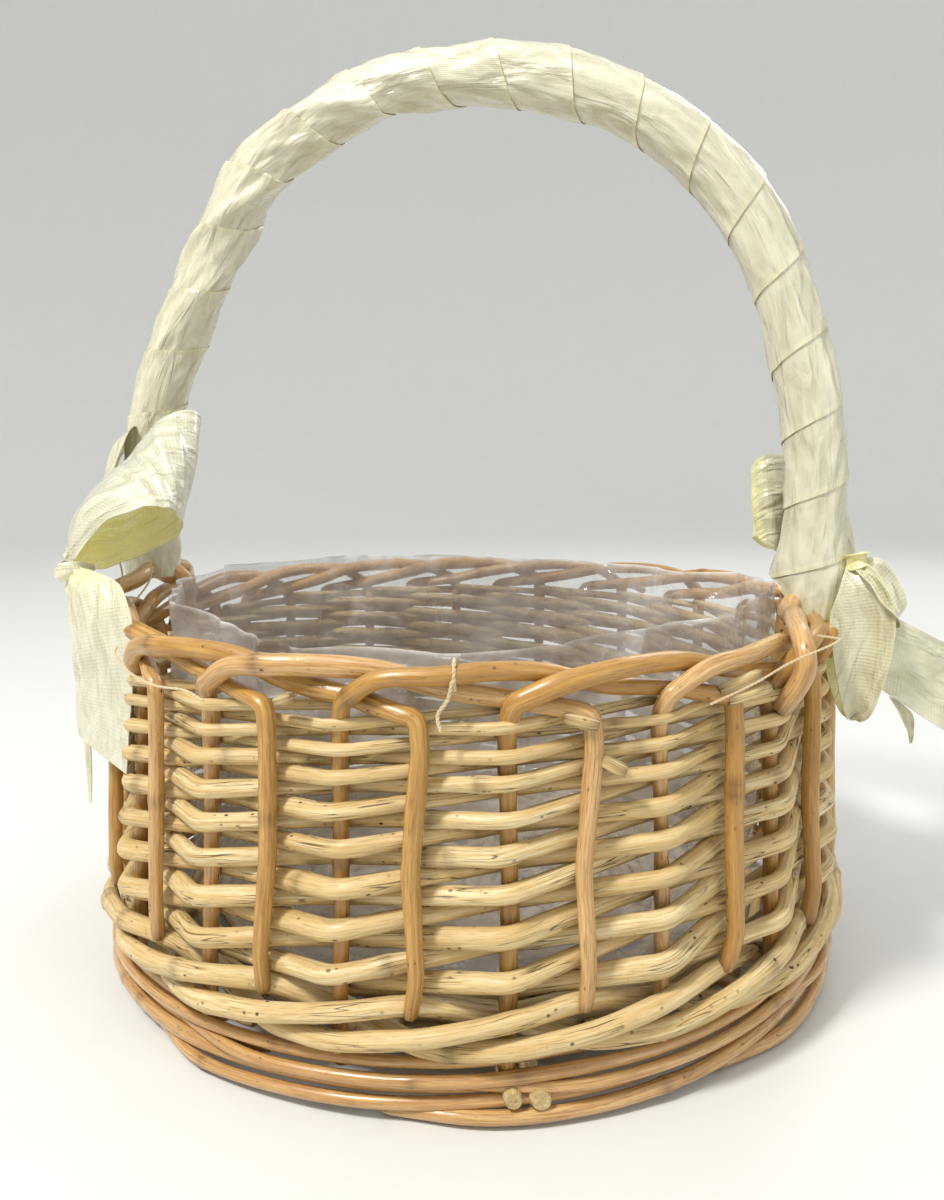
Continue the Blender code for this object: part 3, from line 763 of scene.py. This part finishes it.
def handle_wrap():
    """A ribbon wound from one foot of the hoop to the other, each turn over the next one's edge.

    a: angle round the hoop, 0 away from the hoop's middle and a quarter turn at the front; s: distance
    along the hoop; v: from one edge of the ribbon to the other.
    """
    line, at = evenly(np.vstack([WRAP_ENDS[:1], handle_line(8), WRAP_ENDS[1:]]), 0.001)
    outwards = away_from_hoop(line)
    length = at[-1]
    per_turn, across = 64, 22
    first, last = -0.9 * WRAP_REACH / WRAP_PITCH, length / WRAP_PITCH - 0.1
    t = np.linspace(first, last, int((last - first) * per_turn))
    v = np.linspace(0, 1, across)
    a = math.tau * t[:, None] + 0 * v[None]
    # The last turn is cut aslant, and hangs lowest at the front.
    hang = np.exp(-((1 - np.sin(a + 0.2)) / 0.55) ** 2)
    limit = length - 0.0040 - 0.0032 * (1 - np.cos(a)) + 0.0068 * hang
    s = np.clip(WRAP_PITCH * t[:, None] + v[None] * WRAP_REACH, 0, limit)
    share = s / length
    radius = WRAP_R - 0.0007 + 0.00042 * v[None] ** 2 + 0 * a
    # Long folds twisted along the left shoulder, fewer on the right, and fine crumples everywhere.
    left = np.exp(-((share - 0.33) / 0.19) ** 4)
    slow = 0.5 + 0.5 * np.sin(s * 61 + 0.9)
    radius += 0.00165 * left * (0.5 + 0.5 * slow) * crest(3 * a - s * 165 + 1.2 + 0.7 * np.sin(s * 90), 0.46)
    radius += 0.00070 * left * (1.1 - slow) * crest(4 * a - s * 300 + 2.6, 0.45)
    radius += 0.00065 * (1 - left) * slow * crest(2 * a - s * 120 + 0.4, 0.45)
    radius += (0.00016 * np.sin(7 * a + s * 420 + 2.0) * np.sin(s * 130 + a)
               + 0.00010 * np.sin(11 * a - s * 640))
    radius += 0.00025 * np.sin(2 * a + s * 95) - 0.0008 * left
    # The right end flares, and the left shoulder bulges outwards.
    flare = np.exp(-((length - s - 0.008) / 0.012) ** 2)
    radius += flare * (0.0014 + 0.0014 * np.cos(a) ** 2)
    radius += 0.0013 * np.exp(-((share - 0.285) / 0.035) ** 2) * np.maximum(np.cos(a), 0)
    place = [np.interp(s, at, line[:, k]) for k in range(3)]
    out = [np.interp(s, at, outwards[:, k]) for k in range(3)]
    ways = [out[0] * np.cos(a), -np.sin(a), out[2] * np.cos(a)]
    grid = np.stack([place[k] + radius * ways[k] for k in range(3)], axis=2)
    normals = np.stack(ways, axis=2)
    inset = np.minimum(v, 1 - v)[None] * RIBBON_WIDTH + 0 * a
    weave = np.stack([t[:, None] * WEAVE_TURN + 0 * v[None], v[None] * RIBBON_WIDTH + 0 * a, inset], axis=2)
    piece = Piece("handle_wrap_ribbon", "weave")
    # Painted glow, yellow and emitting, along each turn's outer edge and at the ribbon's cut end.
    edge = 0.20 * np.exp(-((1 - v) / 0.04) ** 2)[None] + 0.30 * np.exp(-((length - s) / 0.004) ** 2)
    sheet_mesh(piece, grid, normals, 0.00022, weave, outer=edge)
    made = piece.finish(WRAP_SATIN, ["handle_wrap"], sharp=80)


def ribbon(piece, stations, per_span=8, columns=14, crumple=0.0, pleat=0.0, inner=0.0, outer=0.0, phase=0.0,
           folds=None):
    """Adds a ribbon through a table of stations.

    crumple, pleat: depth of its soft waves, and of the gathers where it narrows; inner, outer: how much
    painted glow, yellow light shining through the thin satin, each face gets, from the first station to the
    last; folds: (middle station, stations each way, depth, waves a station, lean across the width). Returns
    its mean width and its length.
    """
    stations = np.array(stations) / 10000
    one = smooth([seen(*s[:3]) for s in stations], per_span)
    other = smooth([seen(*s[3:6]) for s in stations], per_span)
    proud = smooth([(s[6], 0.0, 0.0) for s in stations], per_span)[:, 0]
    v = np.linspace(0, 1, columns)
    grid = one[:, None] * (1 - v)[None, :, None] + other[:, None] * v[None, :, None]
    wide = np.linalg.norm(other - one, axis=1)
    ungathered = 0.022
    pinch = np.clip(1 - wide / ungathered, 0, 1)[:, None]
    lift = (proud[:, None] + pleat * pinch * np.sin(v[None] * 17 + phase)) * np.sin(math.pi * v)[None]
    run = np.linspace(0, len(stations), len(one))[:, None]
    lift = lift + crumple * np.sin(v[None] * 7 + run * 1.7 + phase) * np.sin(run * 2.3 + phase * 2)
    if folds:
        middle, reach, depth, waves, lean = folds
        ridge = crest(math.tau * waves * run + lean * v[None], 0.5) * (0.2 + 0.8 * np.sin(math.pi * v))[None]
        lift = lift + depth * np.exp(-((run - middle) / reach) ** 4) * ridge
    grid = grid + grid_normals(grid) * lift[..., None]
    faces = [np.interp(run, np.linspace(0, len(stations), np.size(painted_glow_share)), np.atleast_1d(painted_glow_share)) + 0 * v[None]
             for painted_glow_share in (inner, outer)]
    sheet_mesh(piece, grid, grid_normals(grid), 0.00028, weave_of(grid), inner=faces[0], outer=faces[1])
    return float(wide.mean()), float(np.linalg.norm(np.diff(grid.mean(axis=1), axis=0), axis=1).sum())


# Strips of ribbon as stations in tenths of a millimetre: a point on one edge and one on the other, as
# `seen` takes them, and how far the middle stands proud.
LEFT_LOOP = (
    (-1056, -330, 1088, -1079, -300, 1103, 4), (-986, -365, 1180, -1085, -270, 1150, 20),
    (-915, -395, 1230, -1086, -225, 1217, 34), (-841, -405, 1255, -1047, -175, 1290, 40),
    (-789, -385, 1257, -953, -135, 1390, 36), (-771, -345, 1238, -868, -105, 1490, 26),
    (-771, -300, 1208, -801, -70, 1512, 12), (-785, -262, 1183, -779, -35, 1490, 6),
    (-834, -240, 1150, -840, -10, 1440, 10), (-902, -255, 1118, -945, -30, 1380, 16),
    (-966, -285, 1092, -1040, -90, 1290, 16), (-1010, -310, 1086, -1092, -180, 1200, 8),
    (-1050, -330, 1080, -1098, -280, 1118, 0),
)
LEFT_BACK = (
    (-1060, -290, 1095, -1085, -260, 1120, 0), (-1050, -150, 1210, -1100, -10, 1160, 10),
    (-1035, -60, 1330, -1115, 120, 1270, 20), (-1010, -20, 1430, -1095, 180, 1380, 20),
    (-1000, 60, 1470, -1065, 240, 1400, 10), (-1030, 140, 1400, -1090, 270, 1320, 10),
    (-1080, 80, 1270, -1115, 200, 1200, 10), (-1090, -100, 1150, -1115, 0, 1120, 0),
    (-1080, -260, 1090, -1095, -230, 1105, 0),
)
LEFT_KNOT = (
    (-1005, -310, 1100, -1012, -300, 1078, 4), (-1035, -362, 1112, -1042, -355, 1066, 12),
    (-1068, -368, 1108, -1072, -362, 1058, 12), (-1090, -335, 1102, -1092, -330, 1060, 10),
    (-1092, -275, 1108, -1092, -272, 1066, 8), (-1070, -235, 1106, -1070, -235, 1068, 4),
)
LEFT_TAIL = (
    (-1070, -335, 1082, -1034, -345, 1096, 4), (-1066, -352, 1050, -968, -410, 1092, 10),
    (-1056, -370, 1010, -880, -480, 1066, 22), (-1041, -395, 950, -836, -535, 1002, 18),
    (-1031, -412, 860, -828, -555, 915, 10), (-1026, -420, 770, -832, -565, 780, 6),
    (-1026, -425, 665, -850, -580, 610, 4),
)
LEFT_STRAND = (
    (-1038, -370, 720, -1018, -372, 715, 0), (-1032, -376, 610, -1014, -380, 608, 0),
    (-1026, -386, 530, -1013, -388, 528, 0), (-1023, -392, 470, -1017, -394, 468, 0),
)
RIGHT_TONGUE = (
    (1016, -340, 1122, 990, -330, 1106, 4), (1040, -420, 1080, 958, -370, 1045, 20),
    (1070, -455, 990, 932, -385, 965, 36), (1068, -455, 880, 944, -385, 876, 38),
    (1050, -450, 792, 962, -385, 790, 34), (1038, -440, 736, 976, -390, 734, 30),
    (1026, -425, 704, 987, -390, 703, 20), (1016, -395, 694, 996, -368, 694, 0),
    (1024, -365, 712, 985, -330, 714, -10), (1062, -340, 800, 962, -300, 800, -16),
    (1076, -330, 900, 950, -290, 900, -12), (1058, -320, 1010, 965, -290, 1010, -6),
    (1018, -310, 1100, 992, -300, 1095, 0),
)
RIGHT_LOBE = (
    (1012, -340, 1118, 994, -345, 1098, 0), (1062, -350, 1118, 1004, -440, 1066, 20),
    (1112, -340, 1076, 1034, -465, 1016, 30), (1146, -345, 996, 1078, -470, 970, 20),
    (1132, -320, 972, 1080, -440, 954, 0), (1088, -300, 1018, 1045, -400, 998, -6),
    (1018, -305, 1088, 1002, -330, 1078, 0),
)
RIGHT_KNOT = (
    (975, -300, 1118, 978, -298, 1082, 6), (990, -372, 1132, 992, -368, 1090, 12),
    (1018, -382, 1138, 1020, -378, 1102, 14), (1045, -340, 1134, 1046, -338, 1102, 10),
    (1040, -285, 1130, 1040, -284, 1100, 6),
)
RIGHT_BEHIND = (
    (1000, -280, 1150, 1000, -280, 1105, 0), (955, -140, 1310, 945, -140, 1105, 8),
    (890, -140, 1375, 890, -150, 1105, 14), (832, -165, 1388, 850, -185, 1118, 14),
    (803, -175, 1385, 818, -190, 1138, 10), (786, -150, 1368, 795, -165, 1160, 4),
    (790, -105, 1350, 800, -120, 1150, -4), (840, -60, 1340, 850, -75, 1120, -10),
    (930, -60, 1290, 930, -70, 1110, -6),
)
RIGHT_STRIP = (
    (945, -170, 1290, 1005, -180, 1285, 4), (965, -210, 1240, 1028, -215, 1225, 8),
    (980, -250, 1180, 1032, -250, 1165, 8), (1000, -290, 1125, 1030, -285, 1115, 0),
)
RIGHT_TAIL = (
    (1000, -330, 1060, 990, -330, 990, 4), (1060, -365, 1000, 1030, -360, 860, 8),
    (1110, -370, 966, 1072, -365, 785, 10), (1185, -365, 928, 1152, -375, 728, 12),
    (1258, -345, 893, 1235, -375, 675, 10), (1340, -315, 852, 1322, -350, 626, 6),
    (1420, -290, 805, 1400, -320, 580, 4),
)
RIGHT_FRAYED = (
    (1130, -310, 740, 1160, -315, 725, 0), (1165, -312, 685, 1195, -318, 690, 4),
    (1185, -318, 640, 1200, -322, 645, 0), (1192, -322, 610, 1196, -324, 612, 0),
)


def bow_part(name, strips):
    """One ribbon piece of a bow, from strips of (stations, how they are drawn)."""
    piece = Piece(f"{name}_ribbon", "weave")
    sizes = [ribbon(piece, stations, **drawn) for stations, drawn in strips]
    piece.finish(SATIN, [name], sharp=80)


def bows():
    """Loops held by a knot, and a tail, at each foot of the handle."""
    # inner, outer: shares of painted glow, yellow light shining through the thin satin, on each face.
    bow_part("bow_left_loop", (
        (LEFT_LOOP, dict(per_span=10, columns=22, crumple=0.0005, pleat=0.0009,
                         inner=(1.0, 0.9, 0.65, 0.5, 0.45, 0.45, 0.6, 0.8, 1.0), outer=0.0, phase=0.6,
                         folds=(4.7, 1.3, 0.0013, 1.5, 1.2))),
        (LEFT_BACK, dict(crumple=0.0004, inner=0.12, outer=0.2, phase=2.0)),
        (LEFT_KNOT, dict(columns=12, inner=0.15, outer=0.15, phase=1.0)),
    ))
    # Painted glow on the tail's top, fading out towards its end.
    painted_glow_share = (0.55, 0.45, 0.22, 0.06, 0.0, 0.0, 0.0)
    bow_part("bow_left_tail", (
        (LEFT_TAIL, dict(per_span=9, columns=20, crumple=0.0004, pleat=0.0007, inner=painted_glow_share, outer=painted_glow_share,
                         phase=3.1)),
        (LEFT_STRAND, dict(per_span=6, columns=5, inner=0.1, outer=0.1)),
    ))
    bow_part("bow_right_loop", (
        (RIGHT_TONGUE, dict(per_span=9, columns=18, crumple=0.0003, inner=0.10, outer=0.6, phase=0.9)),
        (RIGHT_LOBE, dict(columns=16, crumple=0.0003, inner=0.12, outer=0.12, phase=2.2)),
        (RIGHT_KNOT, dict(columns=12, inner=0.65, outer=0.65, phase=1.4)),
        (RIGHT_BEHIND, dict(columns=16, crumple=0.0004, inner=0.7,
                            outer=(0.0, 0.0, 0.0, 0.0, 0.15, 0.8, 0.8, 0.4, 0.2), phase=0.3)),
        (RIGHT_STRIP, dict(columns=9, inner=0.1, outer=0.1)),
    ))
    bow_part("bow_right_tail", (
        (RIGHT_TAIL, dict(per_span=9, columns=20, crumple=0.0005, inner=0.06, outer=0.06, phase=4.0)),
        (RIGHT_FRAYED, dict(per_span=6, columns=6, crumple=0.0003, inner=0.1, outer=0.1)),
    ))


# ---- liner ----
# Height of the film's edge at an angle, and the share of the film that lies on the floor.
FILM_TOP = ((-180.0, 0.0985), (-120.0, 0.1020), (-85.0, 0.1030), (-60.0, 0.1020), (-38.0, 0.0985),
            (-15.0, 0.0962), (10.0, 0.0966), (35.0, 0.0995), (60.0, 0.1020), (90.0, 0.1030),
            (130.0, 0.1000), (180.0, 0.0985))
FLOOR_SHARE = 0.30


def liner():
    """The film: a disc gathered into a cup, crumpled where it stands loose near the border."""
    low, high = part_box("liner_film")
    rim_r, floor_z = high.x - 0.0012, low.z + 0.0012
    around, up = 420, 66
    turn = np.linspace(-math.pi, math.pi, around, endpoint=False)
    tops = np.interp(np.degrees(turn), [a for a, _ in FILM_TOP], [z for _, z in FILM_TOP])
    grid = np.zeros((up, around, 3))
    for i, s in enumerate(np.linspace(0, 1, up)):
        for j, a in enumerate(turn):
            place = Vector((math.cos(a) * 2.6, math.sin(a) * 2.6, s * 1.7))
            ridge = noise.ridged_multi_fractal(place, 1.0, 2.1, 4, 0.9, 2.0)
            soft = noise.noise(Vector((math.cos(a) * 1.6 + 7, math.sin(a) * 1.6, s * 2.2)))
            if s < FLOOR_SHARE:
                radius = rim_r * 0.95 * s / FLOOR_SHARE
                z = floor_z + 0.0022 * max(ridge - 0.6, 0) * min(1, s * 6)
            else:
                rise = (s - FLOOR_SHARE) / (1 - FLOOR_SHARE)
                z = floor_z + (tops[j] + 0.0012 * soft - floor_z) * rise
                away = 0.0075 * (ridge - 1.0) * rise ** 1.3 + 0.004 * soft * rise
                radius = rim_r * (0.95 + 0.05 * min(1, rise * 5)) + 0.0020 * rise ** 3 + away
            radius = min(radius, rim_r + 0.0035)
            grid[i, j] = (radius * math.sin(a), -radius * math.cos(a), z)
    piece = Piece("liner_film_sheet")
    flat = grid.reshape(-1, 3)
    # The top row carries the painted highlight along the film's cut edge.
    rim = np.zeros((up, around))
    rim[-1] = 1.0
    piece.add(flat, ring_faces(up, around), flat.copy(), 0.5, rim.ravel())
    made = piece.finish(FILM, ["liner_film"], sharp=180)


# ---- threads ----
def thread(piece, points, rng, radius=0.00028):
    """Two fine plies twisted round each other."""
    line, at = evenly(smooth(points, 10), 0.0005)
    _, across, up = frames(line)
    for ply in range(2):
        a = at * math.tau / 0.0021 + math.pi * ply
        twisted = line + radius * 0.75 * (np.cos(a)[:, None] * across + np.sin(a)[:, None] * up)
        rod(piece, twisted, (radius, radius), rng, sides=6, step=0.0004, oval=0.0, lumps=0.1)


# Each loose thread: how its points are given, and its points.
LOOSE_THREADS = (
    (polar, ((-45.0, 0.1030, 0.0925), (-42.0, 0.1048, 0.0915), (-36.0, 0.1052, 0.0892),
             (-30.0, 0.1050, 0.0882), (-24.0, 0.1050, 0.0888), (-21.0, 0.1046, 0.0872))),
    (polar, ((41.0, 0.1030, 0.0870), (47.0, 0.1050, 0.0905), (53.0, 0.1062, 0.0938),
             (58.0, 0.1105, 0.0970), (61.0, 0.1100, 0.0975), (62.5, 0.1040, 0.0972))),
    (seen, ((-0.0985, -0.0180, 0.1100), (-0.0975, -0.0190, 0.1050), (-0.0985, -0.0230, 0.1000),
            (-0.0965, -0.0240, 0.0975))),
    (seen, ((-0.0915, -0.0130, 0.1100), (-0.0910, -0.0150, 0.1040), (-0.0940, -0.0200, 0.0985),
            (-0.0965, -0.0240, 0.0970))),
)
LOOSE_THREAD_R = 0.0002


def threads(rng):
    """The thread that ties the film to the border, and the loose ones on it."""
    low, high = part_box("liner_thread")
    middle = (low + high) / 2
    angle = math.degrees(math.atan2(middle.x, -middle.y))
    reach = math.hypot(middle.x, middle.y)
    piece = Piece("liner_tie_thread")
    loop = []
    for step in range(11):
        a = math.tau * step / 10 + 0.6
        loop.append(polar(angle, reach + 0.0029 * math.cos(a), middle.z + 0.0031 * math.sin(a)))
    for turn, out, drop in ((0.6, 0.0030, 0.0040), (1.8, 0.0028, 0.0075), (1.4, 0.0040, 0.0105)):
        loop.append(polar(angle - turn, reach + out, middle.z - drop))
    thread(piece, loop, rng)
    piece.finish(THREAD, ["liner_thread"])

    piece = Piece("loose_threads")
    for placed, points in LOOSE_THREADS:
        thread(piece, [placed(*point) for point in points], rng, LOOSE_THREAD_R)
    piece.finish(THREAD, [])


# ---- studio ----
def studio():
    """A round white sweep open to a soft sky, with a small strong key light and two larger soft ones."""
    sides, floor_r, curve, wall_top = 128, 1.3, 0.9, 2.6
    profile = [(0.0, 0.0), (0.4, 0.0), (0.9, 0.0)]
    for step in range(17):
        a = math.pi / 2 * step / 16
        profile.append((floor_r + curve * math.sin(a), curve * (1 - math.cos(a))))
    profile.append((floor_r + curve, wall_top))
    points = [(r * math.cos(math.tau * k / sides), r * math.sin(math.tau * k / sides), z - 0.0002)
              for r, z in profile for k in range(sides)]
    mesh = bpy.data.meshes.new("studio_sweep")
    mesh.from_pydata(points, [], ring_faces(len(profile), sides))
    mesh.shade_smooth()
    mesh.materials.append(floor_skin())
    sweep = linked("studio_sweep", mesh)

    world = bpy.data.worlds.new("studio_sky")
    bpy.context.scene.world = world
    world.use_nodes = True
    sky = world.node_tree.nodes["Background"]
    sky.inputs["Color"].default_value = (0.97, 0.99, 1.0, 1.0)
    sky.inputs["Strength"].default_value = 1.05

    lamps = (("key", (-0.40, -0.60, 1.05), 0.20, 13.0, (1.0, 0.98, 0.94)),
             ("fill", (0.95, -0.60, 0.50), 0.70, 1.6, (0.97, 0.98, 1.0)),
             ("rim", (0.35, 0.90, 0.75), 0.45, 2.6, (1.0, 1.0, 1.0)))
    for name, place, size, power, colour in lamps:
        lamp = bpy.data.lights.new(name, "AREA")
        lamp.shape, lamp.size, lamp.energy, lamp.color = "DISK", size, power, colour
        made = linked(name, lamp)
        made.location = place
        made.rotation_euler = (Vector((0, 0, 0.1)) - Vector(place)).to_track_quat("-Z", "Y").to_euler()
        made.visible_camera = False


def camera():
    lens = bpy.data.cameras.new("camera")
    lens.sensor_width = 36.0
    lens.lens = 29.37
    lens.clip_start = 0.01
    made = linked("camera", lens)
    reach, height, pitch = 0.2898, 0.1392, 8.554
    made.location = (reach * math.sin(CAMERA_TURN), -reach * math.cos(CAMERA_TURN), height)
    made.rotation_euler = (math.radians(90.0 - pitch), 0.0, CAMERA_TURN)
    bpy.context.scene.camera = made


bpy.context.scene.view_settings.view_transform = "Standard"
studio()
camera()
base_sticks(random.Random(1))
base_weaving(random.Random(2))
foot(random.Random(3))
cut_ends(random.Random(4))
stakes(random.Random(5))
side_weavers(random.Random(6))
wale(random.Random(7))
handle_rods(random.Random(8))
handle_wrap()
liner()
bows()
threads(random.Random(9))

bpy.context.view_layer.update()
